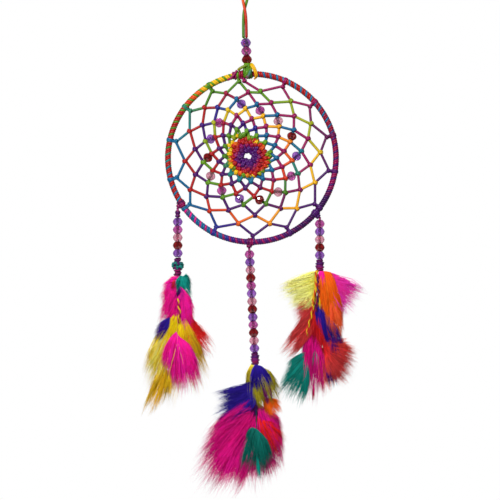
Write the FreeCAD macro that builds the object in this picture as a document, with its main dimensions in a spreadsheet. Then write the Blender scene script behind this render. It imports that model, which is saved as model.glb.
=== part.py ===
"""Dream catcher: a cord-wrapped steel hoop with a hand-tied web, hung from a beaded
cord, with three beaded tails that end in tied bunches of feathers.

Millimetres. X runs across the hoop, Y through it (the front faces -Y), +Z is up.
The origin is the inside of the hanging loop's crown, where it rests on its nail.
"""
import FreeCAD, Part
import math
import os
import Sketcher
from FreeCAD import Placement, Rotation, Vector

doc = FreeCAD.newDocument("dream_catcher")

# ---------------------------------------------------------------- driving dimensions

SIZES = (
    ("loop_drop", 172.0, "hoop centre below the hanging loop's crown"),
    ("hoop_offset", 7.0, "hoop centre to the right of the hanging loop"),
    ("hoop_radius", 84.0, "to the centre of the hoop's wire"),
    ("wire_radius", 1.5, "steel wire of the hoop"),
    ("wrap_radius", 2.95, "hoop with its cord wrapping"),
    ("loop_cord_radius", 1.45, "satin cord of the hanging loop"),
    ("cord_radius", 1.2, "satin cord of the tails"),
    ("web_cord_radius", 1.15, "satin cord of the web"),
    ("web_bend_radius", 1.7, "corner of the web cord at a hitch"),
    ("web_half_depth", 1.2, "web cord in front of and behind the hoop's plane"),
    ("web_junction_radius", 77.5, "where the web cord leaves its hoop hitches"),
    ("rosette_radius", 15.6, "close-tied middle of the web"),
    ("rosette_hole_radius", 3.0, "hole in the middle of the web"),
    ("rosette_thickness", 4.0, "close-tied middle of the web"),
    ("hitch_cord_radius", 1.1, "web cord where it loops round the hoop"),
    ("lashing_cord_radius", 0.85, "cord pulled flat where the wrapping is tied off"),
    ("tail_hitch_cord_radius", 0.8, "tail cord pulled flat round the hoop"),
    ("snug_gap", 0.03, "between a cord and what it is tied round"),
    ("bead_radius", 4.95, "rondelle bead across its girdle"),
    ("bead_height", 7.75, "rondelle bead along its hole"),
    ("bead_end_radius", 2.7, "flat round the hole"),
    ("bead_bore_radius", 1.4, "hole for one cord"),
    ("bead_pitch", 7.85, "beads along a tail"),
    ("top_bead_radius", 5.2, "hanger bead across its girdle"),
    ("top_bead_height", 8.2, "hanger bead along its hole"),
    ("top_bead_end_radius", 3.2, "flat round the hanger bead's hole"),
    ("top_bead_bore_radius", 2.1, "hole for the doubled cord"),
    ("core_radius", 2.0, "doubled cord inside the hanger beads"),
    ("top_knot_width", 6.4, "knot over the hoop, along the hoop wire"),
    ("top_knot_radius", 6.7, "knot over the hoop, round its middle"),
    ("top_knot_shoulder", 5.8, "knot over the hoop, round its two sides"),
    ("top_knot_slack", 0.5, "room for the wrapped hoop to roll inside the knot"),
    ("neck_radius", 1.3, "small knot that a tail swings from"),
    ("neck_slack", 0.15, "between that knot and the tail's cord"),
    ("neck_reach", 6.4, "that knot's centre from the centre of the hoop's wire"),
    ("binding_radius", 3.9, "knot that ties the quills"),
    ("binding_end_radius", 3.2, "top of that knot"),
    ("binding_height", 13.0, "knot and quill bundle together"),
    ("bundle_radius", 8.4, "foot of the quill bundle"),
    ("bundle_height", 5.0, "flare of the quill bundle"),
    ("feather_thickness", 2.0, "one feather's vane, flattened"),
    ("feather_pitch", 2.1, "from one feather of a bunch to the next, along Y"),
)

sheet = doc.addObject("Spreadsheet::Sheet", "Sizes")
sheet_rows = 0


def add_size(alias, value, note):
    """Write one dimension, with its alias and what it measures, to the sheet."""
    global sheet_rows
    sheet_rows += 1
    sheet.set(f"A{sheet_rows}", alias.replace("_", " "))
    sheet.set(f"B{sheet_rows}", str(value))
    sheet.setAlias(f"B{sheet_rows}", alias)
    sheet.set(f"C{sheet_rows}", note)


for alias, value, note in SIZES:
    add_size(alias, value, note)
doc.recompute()


def size(alias):
    return float(sheet.get(alias))


HOOP_CENTRE = Vector(size("hoop_offset"), 0, -size("loop_drop"))
UP = Vector(0, 0, 1)


def on_hoop(angle, radius, y=0.0):
    """A point at an angle round the hoop, in degrees from +X towards +Z."""
    turn = math.radians(angle)
    return HOOP_CENTRE + Vector(radius * math.cos(turn), y, radius * math.sin(turn))


# ---------------------------------------------------------------- helpers

finished = []


def finish(part, node):
    """Give a sub-part the Label that also names its file."""
    part.Label = node
    finished.append(part)
    return part


def primitive(kind, name, place, **expressions):
    """One of Part's own solids, with its sizes bound to the sheet."""
    part = doc.addObject(f"Part::{kind}", name)
    for quantity, expression in expressions.items():
        part.setExpression(quantity, expression)
    part.Placement = place
    return part


def cut(name, base, tool):
    part = doc.addObject("Part::Cut", name)
    part.Base = base
    part.Tool = tool
    return part


def compound(name, parts):
    part = doc.addObject("Part::Compound", name)
    part.Links = parts
    return part


def feature(name, shape):
    part = doc.addObject("Part::Feature", name)
    part.Shape = shape
    part.Placement = Placement()
    return part


def along(direction):
    """The turn that lays an object's own Z axis along a direction."""
    return Rotation(UP, direction)


def origin_part(body, role):
    return next(part for part in body.Origin.OriginFeatures if part.Role == role)


def turned_body(name, profile):
    """A PartDesign body revolved about its Z axis.

    The profile is a closed outline of (x, z) pairs. Each is the alias of a size, a
    sum or part of sizes as a list of (factor, alias), or 0 on the axis or the base.
    """
    body = doc.addObject("PartDesign::Body", name)
    sketch = body.newObject("Sketcher::SketchObject", name + "_profile")
    sketch.AttachmentSupport = [(origin_part(body, "XZ_Plane"), "")]
    sketch.MapMode = "FlatFace"
    corners = [Vector(amount(x), amount(z), 0) for x, z in profile]
    count = len(corners)
    for i in range(count):
        side = Part.LineSegment(corners[i], corners[(i + 1) % count])
        sketch.addGeometry(side, False)
    for i in range(count):
        joined = Sketcher.Constraint("Coincident", i, 2, (i + 1) % count, 1)
        sketch.addConstraint(joined)
    for i, (x, z) in enumerate(profile):
        dimension(sketch, i, "DistanceX", -2, x)
        dimension(sketch, i, "DistanceY", -1, z)
    turned = body.newObject("PartDesign::Revolution", name + "_turned")
    turned.Profile = sketch
    turned.ReferenceAxis = (sketch, ["V_Axis"])
    turned.Angle = 360
    return body


def amount(entry):
    """The value of a profile entry."""
    if entry == 0:
        return 0.0
    return sum(factor * size(alias) for factor, alias in entry)


def dimension(sketch, corner, kind, axis, entry):
    """Hold a profile corner on an axis, or at a distance bound to the sheet."""
    if entry == 0:
        sketch.addConstraint(Sketcher.Constraint("PointOnObject", corner, 1, axis))
        return
    held = Sketcher.Constraint(kind, -1, 1, corner, 1, amount(entry))
    index = sketch.addConstraint(held)
    formula = " + ".join(f"{factor} * Sizes.{alias}" for factor, alias in entry)
    sketch.setExpression(f"Constraints[{index}]", formula)


def bead_body(name, prefix):
    """A rondelle bead standing on its lower flat, with its hole along Z."""
    bore = [(1, prefix + "bore_radius")]
    flat = [(1, prefix + "end_radius")]
    girdle = [(1, prefix + "radius")]
    height = [(1, prefix + "height")]
    low = [(0.42, prefix + "height")]
    high = [(0.58, prefix + "height")]
    outline = (
        (bore, 0),
        (flat, 0),
        (girdle, low),
        (girdle, high),
        (flat, height),
        (bore, height),
    )
    return turned_body(name, outline)


def path(points, bend):
    """Straight runs joined by tangent arcs. bend gives each corner's radius."""
    edges = []
    start = points[0]
    for before, corner, after in zip(points, points[1:], points[2:]):
        back = (before - corner).normalize()
        ahead = (after - corner).normalize()
        half = back.getAngle(ahead) / 2
        radius = bend(before, corner, after)
        reach = radius / math.tan(half)
        inward = (back + ahead).normalize()
        arc_start = corner + back * reach
        arc_end = corner + ahead * reach
        crown = corner + inward * (radius / math.sin(half) - radius)
        edges.append(Part.LineSegment(start, arc_start).toShape())
        edges.append(Part.Arc(arc_start, crown, arc_end).toShape())
        start = arc_end
    edges.append(Part.LineSegment(start, points[-1]).toShape())
    return Part.Wire(edges)


def tube(points, radius, bend):
    """A round cord along a path, checked against its section times its length."""
    line = path(points, bend)
    direction = points[1] - points[0]
    section = Part.Wire(Part.Circle(points[0], direction, radius).toShape())
    cord = line.makePipeShell([section], True, False)
    expected = math.pi * radius**2 * line.Length
    if abs(cord.Volume / expected - 1) > 0.001:
        raise ValueError(f"cord volume {cord.Volume:.1f}, expected {expected:.1f}")
    return cord


def free_bend(before, corner, after):
    """The largest arc that the two runs beside a corner allow."""
    back = before - corner
    ahead = after - corner
    turn = math.pi - back.getAngle(ahead)
    return 0.45 * min(back.Length, ahead.Length) / math.tan(turn / 2)


def web_bend(before, corner, after):
    return size("web_bend_radius")


# ---------------------------------------------------------------- hanging loop

# The cord leaves the top bead on the left, crosses behind itself, goes over the nail
# and comes down in front to the same bead.
LOOP_ROUTE = (
    Vector(-1.5, 0.5, -52.4),
    Vector(-1.8, 1.2, -39.0),
    Vector(-1.3, 1.7, -25.0),
    Vector(2.3, 1.4, -13.5),
    Vector(3.5, 0.3, -5.5),
    Vector(3.3, 0.0, 1.45),
    Vector(-3.3, 0.0, 1.45),
    Vector(-3.5, -0.3, -5.5),
    Vector(-2.2, -1.4, -14.5),
    Vector(0.6, -1.7, -27.0),
    Vector(1.4, -1.2, -39.0),
    Vector(1.5, -0.5, -52.4),
)
CORE_TOP = Vector(0.55, 0, -52.6)
CORE_FOOT = Vector(2.2, 0, -79.5)
TOP_BEAD_DROPS = (("violet", 8.4), ("pink", 16.8), ("red", 25.2))
TOP_KNOT_X = 3.2
TOP_KNOT_Z = -86.4


def make_hanging_loop():
    for before, corner, after in zip(LOOP_ROUTE, LOOP_ROUTE[1:], LOOP_ROUTE[2:]):
        print(f"hanging loop bend radius {free_bend(before, corner, after):.1f}")
    cord = tube(LOOP_ROUTE, size("loop_cord_radius"), free_bend)
    finish(feature("HangingLoop", cord), "hanging_loop")


def make_hanger_core():
    line = CORE_FOOT - CORE_TOP
    core = primitive(
        "Cylinder", "HangerCore", Placement(CORE_TOP, along(line)), Radius="Sizes.core_radius"
    )
    core.Height = line.Length
    finish(core, "hanger_core")


def make_hanger_beads():
    line = (CORE_FOOT - CORE_TOP).normalize()
    for colour, drop in TOP_BEAD_DROPS:
        bead = bead_body("Hanger" + colour.title(), "top_bead_")
        bead.Placement = Placement(CORE_TOP + line * drop, along(-line))
        finish(bead, "hanger_bead_" + colour)


def make_top_knot():
    """A knot whose hole lets the wrapped hoop roll inside it."""
    shoulder = [(1, "top_knot_shoulder")]
    middle = [(1, "top_knot_radius")]
    near = [(0.3, "top_knot_width")]
    far = [(0.7, "top_knot_width")]
    width = [(1, "top_knot_width")]
    outline = ((0, 0), (shoulder, 0), (middle, near), (middle, far), (shoulder, width), (0, width))
    ball = turned_body("TopKnotBall", outline)
    side = TOP_KNOT_X - size("top_knot_width") / 2
    ball.Placement = Placement(Vector(side, 0, TOP_KNOT_Z), along(Vector(1, 0, 0)))
    hoop_top = math.sqrt(size("hoop_radius") ** 2 - (TOP_KNOT_X - HOOP_CENTRE.x) ** 2)
    bore_start = Vector(TOP_KNOT_X - size("top_knot_width"), 0, HOOP_CENTRE.z + hoop_top)
    bore = primitive(
        "Cylinder",
        "TopKnotBore",
        Placement(bore_start, along(Vector(1, 0, 0))),
        Radius="Sizes.wrap_radius + Sizes.top_knot_slack",
        Height="2 * Sizes.top_knot_width",
    )
    finish(cut("TopKnot", ball, bore), "top_knot")


# ---------------------------------------------------------------- hoop

LASHING_ANGLES = (96.6, 97.8, 100.8, 102.0)


def hoop_torus(name, tube_radius):
    place = Placement(HOOP_CENTRE, along(Vector(0, 1, 0)))
    return primitive(
        "Torus", name, place, Radius1="Sizes.hoop_radius", Radius2=tube_radius
    )


def cord_ring(name, angle, cord_alias):
    """One turn of cord round the wrapped hoop, at an angle round the hoop."""
    tangent = Vector(-math.sin(math.radians(angle)), 0, math.cos(math.radians(angle)))
    cord = "Sizes." + cord_alias
    return primitive(
        "Torus",
        name,
        Placement(on_hoop(angle, size("hoop_radius")), along(tangent)),
        Radius1=f"Sizes.wrap_radius + {cord} + Sizes.snug_gap",
        Radius2=cord,
    )


def make_hoop():
    finish(hoop_torus("HoopRing", "Sizes.wire_radius"), "hoop_ring")
    outside = hoop_torus("WrapOutside", "Sizes.wrap_radius")
    inside = hoop_torus("WrapInside", "Sizes.wire_radius + Sizes.snug_gap")
    finish(cut("HoopWrap", outside, inside), "hoop_wrap")
    turns = [
        cord_ring(f"LashingTurn{i}", angle, "lashing_cord_radius")
        for i, angle in enumerate(LASHING_ANGLES)
    ]
    finish(compound("SpliceLashing", turns), "splice_lashing")


# ---------------------------------------------------------------- web

# The web is one running cord. It is hitched round the hoop, then spirals inwards:
# each new hitch takes the middle of the strand that is one round older and pulls it
# towards the middle of the web.
FIRST_HITCH_ANGLE = 95.6
HOOP_HITCH_GAPS = (29, 25, 26, 25, 27, 27, 26, 28, 26, 22, 27, 25, 22, 21)
HITCHES_PER_ROUND = len(HOOP_HITCH_GAPS) + 1
ROUNDS = 7
SPIRAL_HITCHES = 90  # the pull and the swirl change evenly over this many hitches
PULL = (0.20, 0.46)  # share of a strand's span that a hitch pulls it in by
SWIRL = (1.6, 1.15)  # degrees that a hitch slips round, against the clock
WEB_LEAN = Vector(-13.4, 0, 0.5)  # where the innermost hitches pull towards
ROSETTE_CENTRE = HOOP_CENTRE + Vector(-3.6, 0, 1.3)
LAST_HOOP_HITCH_ANGLE = 99.3


def hoop_hitch_angles():
    angles = [FIRST_HITCH_ANGLE]
    for gap in HOOP_HITCH_GAPS:
        angles.append(angles[-1] - gap)
    return angles


def web_hitches():
    """Every hitch of the web in the hoop's plane, in the order they are tied."""
    radius = size("web_junction_radius")
    hitches = [on_hoop(angle, radius) for angle in hoop_hitch_angles()]
    while len(hitches) < HITCHES_PER_ROUND * (ROUNDS + 1):
        share = (len(hitches) - HITCHES_PER_ROUND) / SPIRAL_HITCHES
        start = hitches[-HITCHES_PER_ROUND]
        end = hitches[-HITCHES_PER_ROUND + 1]
        target = HOOP_CENTRE + WEB_LEAN * min(1.0, share)
        middle = (start + end) / 2
        inward = (target - middle).normalize()
        pull = PULL[0] + (PULL[1] - PULL[0]) * share
        swirl = SWIRL[0] + (SWIRL[1] - SWIRL[0]) * share
        pulled = middle + inward * (pull * (end - start).Length) - target
        slip = Rotation(Vector(0, -1, 0), swirl)
        hitches.append(target + slip.multVec(pulled))
    return hitches


def web_route(hitches):
    """The web cord's corners. It is in front at its own hitches and behind where a
    newer hitch pulls it in."""
    forward = Vector(0, -size("web_half_depth"), 0)
    corners = []
    for own, newer in zip(hitches, hitches[HITCHES_PER_ROUND:]):
        corners.append(own + forward)
        corners.append(newer - forward)
    return corners


def make_web():
    hitches = web_hitches()
    corners = web_route(hitches)
    start = 0
    for number in range(1, ROUNDS + 1):
        end = 2 * (number * HITCHES_PER_ROUND - 1)
        points = corners[start : end + 1]
        if start > 0:
            points = [(corners[start - 1] + corners[start]) / 2] + points
        if end + 1 < len(corners):
            points = points + [(corners[end] + corners[end + 1]) / 2]
        cord = tube(points, size("web_cord_radius"), web_bend)
        finish(feature(f"WebRound{number}", cord), f"web_round_{number}")
        start = end + 1
    make_web_beads(corners)


def make_hoop_hitches():
    angles = hoop_hitch_angles()[1:-1] + [LAST_HOOP_HITCH_ANGLE]
    turns = [
        cord_ring(f"WebHitch{i}", angle, "hitch_cord_radius")
        for i, angle in enumerate(angles)
    ]
    finish(compound("WebHitches", turns), "web_hoop_hitches")


def make_rosette():
    body = turned_body(
        "WebRosette",
        (
            ([(1, "rosette_hole_radius")], 0),
            ([(1, "rosette_radius")], 0),
            ([(1, "rosette_radius")], [(1, "rosette_thickness")]),
            ([(1, "rosette_hole_radius")], [(1, "rosette_thickness")]),
        ),
    )
    back = Vector(0, -size("rosette_thickness") / 2, 0)
    body.Placement = Placement(ROSETTE_CENTRE + back, along(Vector(0, 1, 0)))
    finish(body, "web_rosette")


# Beads sit on the fourth round, each just after its hitch, in a repeating order.
WEB_BEAD_COLOURS = ("violet", "magenta", "pink", "red")
WEB_BEAD_COUNT = 14
FIRST_BEAD_HITCH = 43
BEAD_PLACE_ON_STRAND = 0.53


def make_web_beads(corners):
    template = bead_body("WebBead", "bead_")
    doc.recompute()
    groups = {colour: [] for colour in WEB_BEAD_COLOURS}
    for i in range(WEB_BEAD_COUNT):
        start, end = corners[2 * (FIRST_BEAD_HITCH + i)], corners[2 * (FIRST_BEAD_HITCH + i) + 1]
        direction = (end - start).normalize()
        middle = start + (end - start) * BEAD_PLACE_ON_STRAND
        bead = template.Shape.copy()
        foot = middle - direction * (size("bead_height") / 2)
        bead.Placement = Placement(foot, along(direction))
        groups[WEB_BEAD_COLOURS[i % len(WEB_BEAD_COLOURS)]].append(bead)
    for colour, beads in groups.items():
        finish(feature("WebBeads" + colour.title(), Part.Compound(beads)), "web_beads_" + colour)


# ---------------------------------------------------------------- tails

# Each tail: its angle round the hoop, the direction from the hoop's wire to the knot
# it swings from, the lean of its cord from upright, the cord's length down to its
# first bead, and its beads. Each feather: its colour, its tip across and down from
# the foot of the quill bundle, and its width. Feathers are listed front to back.
TAILS = {
    "left": {
        "angle": 212.2,
        "reach_angle": 240.0,
        "lean": 0.0,
        "neck_length": 9.7,
        "beads": 5,
        "feathers": (
            ("pink", 9, -122, 32),
            ("magenta", -14, -56, 17),
            ("teal", 13, -33, 14),
            ("yellow", -27, -143, 38),
            ("violet", 12, -65, 14),
            ("red", 32, -88, 24),
            ("indigo", -20, -74, 16),
        ),
    },
    "middle": {
        "angle": 268.1,
        "reach_angle": 270.0,
        "lean": 3.0,
        "neck_length": 2.15,
        "beads": 13,
        "feathers": (
            ("teal", 2, -115, 27),
            ("blue", 14, -27, 18),
            ("magenta", -42, -123, 44),
            ("indigo", -42, -58, 30),
            ("rose", 17, -119, 30),
            ("olive", 22, -44, 18),
            ("orange", 26, -89, 22),
        ),
    },
    "right": {
        "angle": 318.5,
        "reach_angle": 319.0,
        "lean": 0.0,
        "neck_length": 2.15,
        "beads": 5,
        "feathers": (
            ("yellow", -38, -20, 24),
            ("red", -31, -86, 26),
            ("coral", 27, -111, 24),
            ("indigo", 15, -111, 24),
            ("orange", 14, -68, 20),
            ("pink", 41, -22, 24),
            ("teal", -34, -126, 22),
            ("magenta", -8, -127, 22),
        ),
    },
}
HITCH_TURN_ANGLE = 0.65  # either side of the tail's own angle
BINDING_GAP = 0.1  # between the last bead, the cord's end and the binding
FEATHER_GAP = 0.6  # between the quill bundle and the feathers


def make_tail_hitch(side, tail):
    turns = [
        cord_ring(f"{side}HitchTurn{i}", tail["angle"] + offset, "tail_hitch_cord_radius")
        for i, offset in enumerate((-HITCH_TURN_ANGLE, HITCH_TURN_ANGLE))
    ]
    finish(compound(side + "Hitch", turns), side + "_hitch")


def make_tail(side, tail):
    make_tail_hitch(side, tail)
    reach = math.radians(tail["reach_angle"])
    wire = on_hoop(tail["angle"], size("hoop_radius"))
    pivot = wire + Vector(math.cos(reach), 0, math.sin(reach)) * size("neck_reach")
    lean = math.radians(tail["lean"])
    down = Vector(math.sin(lean), 0, -math.cos(lean))
    print(f"{side} tail swings from {pivot}")

    neck = primitive("Sphere", side + "Neck", Placement(pivot, Rotation()), Radius="Sizes.neck_radius")
    finish(neck, side + "_neck")

    bead_run = (tail["beads"] - 1) * size("bead_pitch") + size("bead_height")
    cord_length = tail["neck_length"] + bead_run
    whole = primitive(
        "Cylinder", side + "CordWhole", Placement(pivot, along(down)), Radius="Sizes.cord_radius"
    )
    whole.Height = cord_length
    hollow = primitive(
        "Sphere",
        side + "CordHollow",
        Placement(pivot, Rotation()),
        Radius="Sizes.neck_radius + Sizes.neck_slack",
    )
    finish(cut(side + "Cord", whole, hollow), side + "_tail_cord")
    print(f"{side} tail cord {cord_length:.1f} long")

    beads = bead_body(side + "Beads", "bead_")
    string = beads.newObject("PartDesign::LinearPattern", side + "BeadString")
    string.Originals = [beads.Group[1]]
    string.Direction = (origin_part(beads, "Z_Axis"), [""])
    string.setExpression("Length", f"Sizes.bead_pitch * {tail['beads'] - 1}")
    string.Occurrences = tail["beads"]
    beads.AllowCompound = True
    beads.Tip = string
    beads.Placement = Placement(pivot + down * tail["neck_length"], along(down))
    finish(beads, side + "_tail_beads")

    top = pivot + down * (cord_length + BINDING_GAP)
    foot = top + down * size("binding_height")
    binding = turned_body(
        side + "Binding",
        (
            (0, 0),
            ([(1, "bundle_radius")], 0),
            ([(1, "binding_end_radius")], [(1, "bundle_height")]),
            ([(1, "binding_radius")], [(1.3, "bundle_height")]),
            ([(1, "binding_radius")], [(1, "binding_height"), (-0.3, "bundle_height")]),
            ([(1, "binding_end_radius")], [(1, "binding_height")]),
            (0, [(1, "binding_height")]),
        ),
    )
    binding.Placement = Placement(foot, along(-down))
    finish(binding, side + "_binding")
    print(f"{side} bundle foot {foot}")
    make_feathers(side, tail["feathers"], foot + down * FEATHER_GAP)


def make_feathers(side, feathers, foot):
    """Each feather is a flat oval from the quill bundle to its tip, in its own layer."""
    for i, (colour, tip_x, tip_z, width) in enumerate(feathers):
        layer = i - (len(feathers) - 1) / 2
        tip = Vector(tip_x, 0, tip_z)
        rise = math.hypot(tip_z, width * tip_x / tip.Length) / 2 + tip_z / 2
        start = Vector(0, 0, -rise)  # so that the oval's shoulder clears the bundle
        quill = tip - start
        prefix = f"{side}_{colour}"
        add_size(prefix + "_length", round(quill.Length, 1), "feather, quill to tip")
        add_size(prefix + "_width", width, "feather, across its vane")
        middle = foot + (start + tip) / 2 + Vector(0, layer * size("feather_pitch"), 0)
        oval = primitive(
            "Ellipsoid",
            f"{side}Feather{colour.title()}",
            Placement(middle, along(-quill)),
            Radius1=f"Sizes.{prefix}_length / 2",
            Radius2=f"Sizes.{prefix}_width / 2",
            Radius3="Sizes.feather_thickness / 2",
        )
        finish(oval, f"{side}_feather_{colour}")


# ---------------------------------------------------------------- the whole object

make_hanging_loop()
make_hanger_core()
make_hanger_beads()
make_top_knot()
make_hoop()
make_hoop_hitches()
make_web()
make_rosette()
for side, tail in TAILS.items():
    make_tail(side, tail)
doc.recompute()

for part in doc.Objects:
    if "Invalid" in part.State or "Error" in part.State:
        raise RuntimeError(f"{part.Label} failed: {part.State}")
for part in finished:
    if part.Shape.isNull() or not part.Shape.isValid() or not part.Shape.Solids:
        raise RuntimeError(f"{part.Label} has no valid solid")

os.makedirs("parts", exist_ok=True)
for part in finished:
    part.Shape.exportStep(f"parts/{part.Label}.step")
print(f"{len(finished)} sub-parts written")
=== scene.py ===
"""A rainbow dream catcher: a wrapped hoop with a knotted web, hung from a beaded loop,
with three strings of beads and dyed plumes below it."""

import math

import bpy
import numpy as np
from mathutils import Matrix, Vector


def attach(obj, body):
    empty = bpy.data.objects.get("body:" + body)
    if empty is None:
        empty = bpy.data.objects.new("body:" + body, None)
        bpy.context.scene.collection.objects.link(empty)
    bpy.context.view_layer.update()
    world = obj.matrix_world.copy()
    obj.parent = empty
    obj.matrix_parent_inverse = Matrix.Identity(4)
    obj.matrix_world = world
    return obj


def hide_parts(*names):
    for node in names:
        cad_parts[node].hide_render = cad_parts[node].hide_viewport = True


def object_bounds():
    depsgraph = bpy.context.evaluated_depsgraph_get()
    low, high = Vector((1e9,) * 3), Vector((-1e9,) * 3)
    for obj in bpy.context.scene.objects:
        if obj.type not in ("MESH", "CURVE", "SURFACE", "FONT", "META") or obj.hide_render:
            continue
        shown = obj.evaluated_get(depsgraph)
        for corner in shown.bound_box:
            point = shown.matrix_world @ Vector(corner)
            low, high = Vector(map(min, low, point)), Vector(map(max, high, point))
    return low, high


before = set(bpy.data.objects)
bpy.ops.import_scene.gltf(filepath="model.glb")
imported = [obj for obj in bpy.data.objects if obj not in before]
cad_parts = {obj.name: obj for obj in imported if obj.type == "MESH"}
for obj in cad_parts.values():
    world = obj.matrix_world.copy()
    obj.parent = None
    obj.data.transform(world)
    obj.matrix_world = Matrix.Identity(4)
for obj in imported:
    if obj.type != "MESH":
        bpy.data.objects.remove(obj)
cad_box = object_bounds()

MM = 0.001
FRONT = np.array((0.0, -1.0, 0.0))


def placed(name, data):
    """A new object in the scene."""
    made = bpy.data.objects.new(name, data)
    bpy.context.collection.objects.link(made)
    return made


def points_mm(*places):
    return np.array(places) * MM


# ---- camera

VIEW_CENTRE = (0.005, -0.264)
VIEW_DISTANCE = 1.5

lens = bpy.data.cameras.new("viewpoint")
lens.sensor_width = 36
lens.lens = 108
camera = placed("viewpoint", lens)
camera.location = (VIEW_CENTRE[0], -VIEW_DISTANCE, VIEW_CENTRE[1])
camera.rotation_euler = (math.radians(90), 0, 0)
bpy.context.scene.camera = camera
bpy.context.scene.view_settings.view_transform = "Standard"


# ---- dyes

DYES = {
    "magenta": (0.31, 0.002, 0.095),
    "hot_pink": (0.93, 0.010, 0.29),
    "fuchsia": (0.56, 0.004, 0.20),
    "candy": (0.92, 0.045, 0.42),
    "rose": (0.52, 0.02, 0.20),
    "plum": (0.13, 0.003, 0.085),
    "purple": (0.072, 0.004, 0.135),
    "deep_purple": (0.042, 0.002, 0.080),
    "indigo": (0.022, 0.008, 0.24),
    "blue": (0.003, 0.13, 0.28),
    "cyan": (0.005, 0.22, 0.38),
    "teal": (0.004, 0.22, 0.18),
    "deep_teal": (0.003, 0.13, 0.105),
    "green": (0.060, 0.21, 0.008),
    "leaf": (0.12, 0.32, 0.008),
    "lime": (0.36, 0.42, 0.006),
    "olive": (0.30, 0.25, 0.015),
    "straw": (0.88, 0.76, 0.24),
    "lemon": (0.85, 0.66, 0.06),
    "yellow": (0.86, 0.53, 0.006),
    "gold": (0.86, 0.37, 0.006),
    "mustard": (0.58, 0.38, 0.012),
    "orange": (0.82, 0.13, 0.006),
    "coral": (0.86, 0.11, 0.035),
    "scarlet": (0.62, 0.030, 0.006),
    "flame": (0.60, 0.014, 0.012),
    "brick": (0.50, 0.045, 0.045),
    "red": (0.42, 0.008, 0.008),
    "crimson": (0.30, 0.004, 0.035),
}


def dye(name):
    return np.array(DYES[name])


def plain(name, count):
    return np.tile(dye(name), (count, 1))


def dye_along(place, stops):
    """The colour at a place on a cord, from stops such as "0 leaf, 1 olive", in rising order."""
    stops = [stop.split() for stop in stops.split(",")]
    places = [float(stop[0]) for stop in stops]
    colours = np.array([DYES[stop[1]] for stop in stops])
    return np.stack([np.interp(place, places, colours[:, i]) for i in range(3)], axis=-1)


# ---- nodes

def node(tree, kind, inputs=None, **settings):
    """A new node with its settings. Each input is linked to a socket or set to a constant."""
    made = tree.nodes.new(kind)
    for name, value in settings.items():
        setattr(made, name, value)
    for name, value in (inputs or {}).items():
        if isinstance(value, bpy.types.NodeSocket):
            tree.links.new(value, made.inputs[name])
        elif isinstance(value, tuple):
            made.inputs[name].default_value = (*value, 1.0)
        else:
            made.inputs[name].default_value = value
    return made


def mixed(tree, blend, factor, first, second):
    """A colour mix, whose colour sockets are its seventh and eighth inputs."""
    inputs = {0: factor, 6: first, 7: second}
    mix = node(tree, "ShaderNodeMix", inputs, data_type="RGBA", blend_type=blend, clamp_result=False)
    return mix.outputs[2]


def calculated(tree, operation, *values):
    return node(tree, "ShaderNodeMath", dict(enumerate(values)), operation=operation).outputs[0]


def ranged(tree, value, low, high):
    inputs = {"Value": value, "To Min": low, "To Max": high}
    return node(tree, "ShaderNodeMapRange", inputs).outputs["Result"]


def object_place(tree):
    return node(tree, "ShaderNodeTexCoord").outputs["Object"]


def noise(tree, scale, detail=3.0):
    inputs = {"Vector": object_place(tree), "Scale": scale, "Detail": detail}
    return node(tree, "ShaderNodeTexNoise", inputs).outputs["Fac"]


def held(tree, name, output="Color"):
    """What the piece holds at each point under a name."""
    return node(tree, "ShaderNodeAttribute", attribute_name=name).outputs[output]


def raised(tree, height, strength, distance):
    inputs = {"Height": height, "Strength": strength, "Distance": distance}
    return node(tree, "ShaderNodeBump", inputs).outputs["Normal"]


def principled(tree, colour, roughness, **more):
    inputs = {"Base Color": colour, "Roughness": roughness}
    inputs.update({name.replace("_", " "): value for name, value in more.items()})
    return node(tree, "ShaderNodeBsdfPrincipled", inputs).outputs["BSDF"]


def material(name):
    made = bpy.data.materials.new(name)
    made.use_nodes = True
    made.node_tree.nodes.clear()
    return made, made.node_tree


def surfaced(made, shader):
    node(made.node_tree, "ShaderNodeOutputMaterial", {"Surface": shader})
    return made


# ---- materials

def satin_cord(name, ribs_per_metre, rib_starts, rib_depth, shine):
    """A dyed satin cord, with its fine twist following the piece's own lay map, and painted shade darkening
    the twist's grooves.
    """
    made, tree = material(name)
    lay = node(tree, "ShaderNodeUVMap", uv_map="lay").outputs["UV"]
    parts = node(tree, "ShaderNodeSeparateXYZ", {"Vector": lay}).outputs
    run = calculated(tree, "MULTIPLY", parts["X"], ribs_per_metre)
    turn = calculated(tree, "MULTIPLY", parts["Y"], float(rib_starts))
    phase = calculated(tree, "MULTIPLY", calculated(tree, "ADD", run, turn), math.tau)
    height = ranged(tree, calculated(tree, "SINE", phase), 0.0, 1.0)
    fibres = noise(tree, 2600.0, 4.0)
    patches = ranged(tree, noise(tree, 160.0, 2.0), 0.0, 1.0)
    dyed = held(tree, "dye")
    # Painted shade: where the rib height is low, in the grooves, the dye is darkened towards grey purple,
    # and the ridges keep the plain dye.
    painted_groove_shade = mixed(tree, "MULTIPLY", 0.85, dyed, (0.38, 0.34, 0.40))
    ribs_with_painted_shade = mixed(tree, "MIX", height, painted_groove_shade, dyed)
    deep = mixed(tree, "MULTIPLY", 0.45, ribs_with_painted_shade, (0.45, 0.4, 0.45))
    soft = mixed(tree, "MIX", patches, ribs_with_painted_shade, deep)
    relief = calculated(tree, "ADD", height, calculated(tree, "MULTIPLY", fibres, 0.6))
    return surfaced(made, principled(
        tree, soft, ranged(tree, fibres, shine, shine + 0.22),
        Specular_IOR_Level=0.18, Normal=raised(tree, relief, 0.6, rib_depth)))


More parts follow.
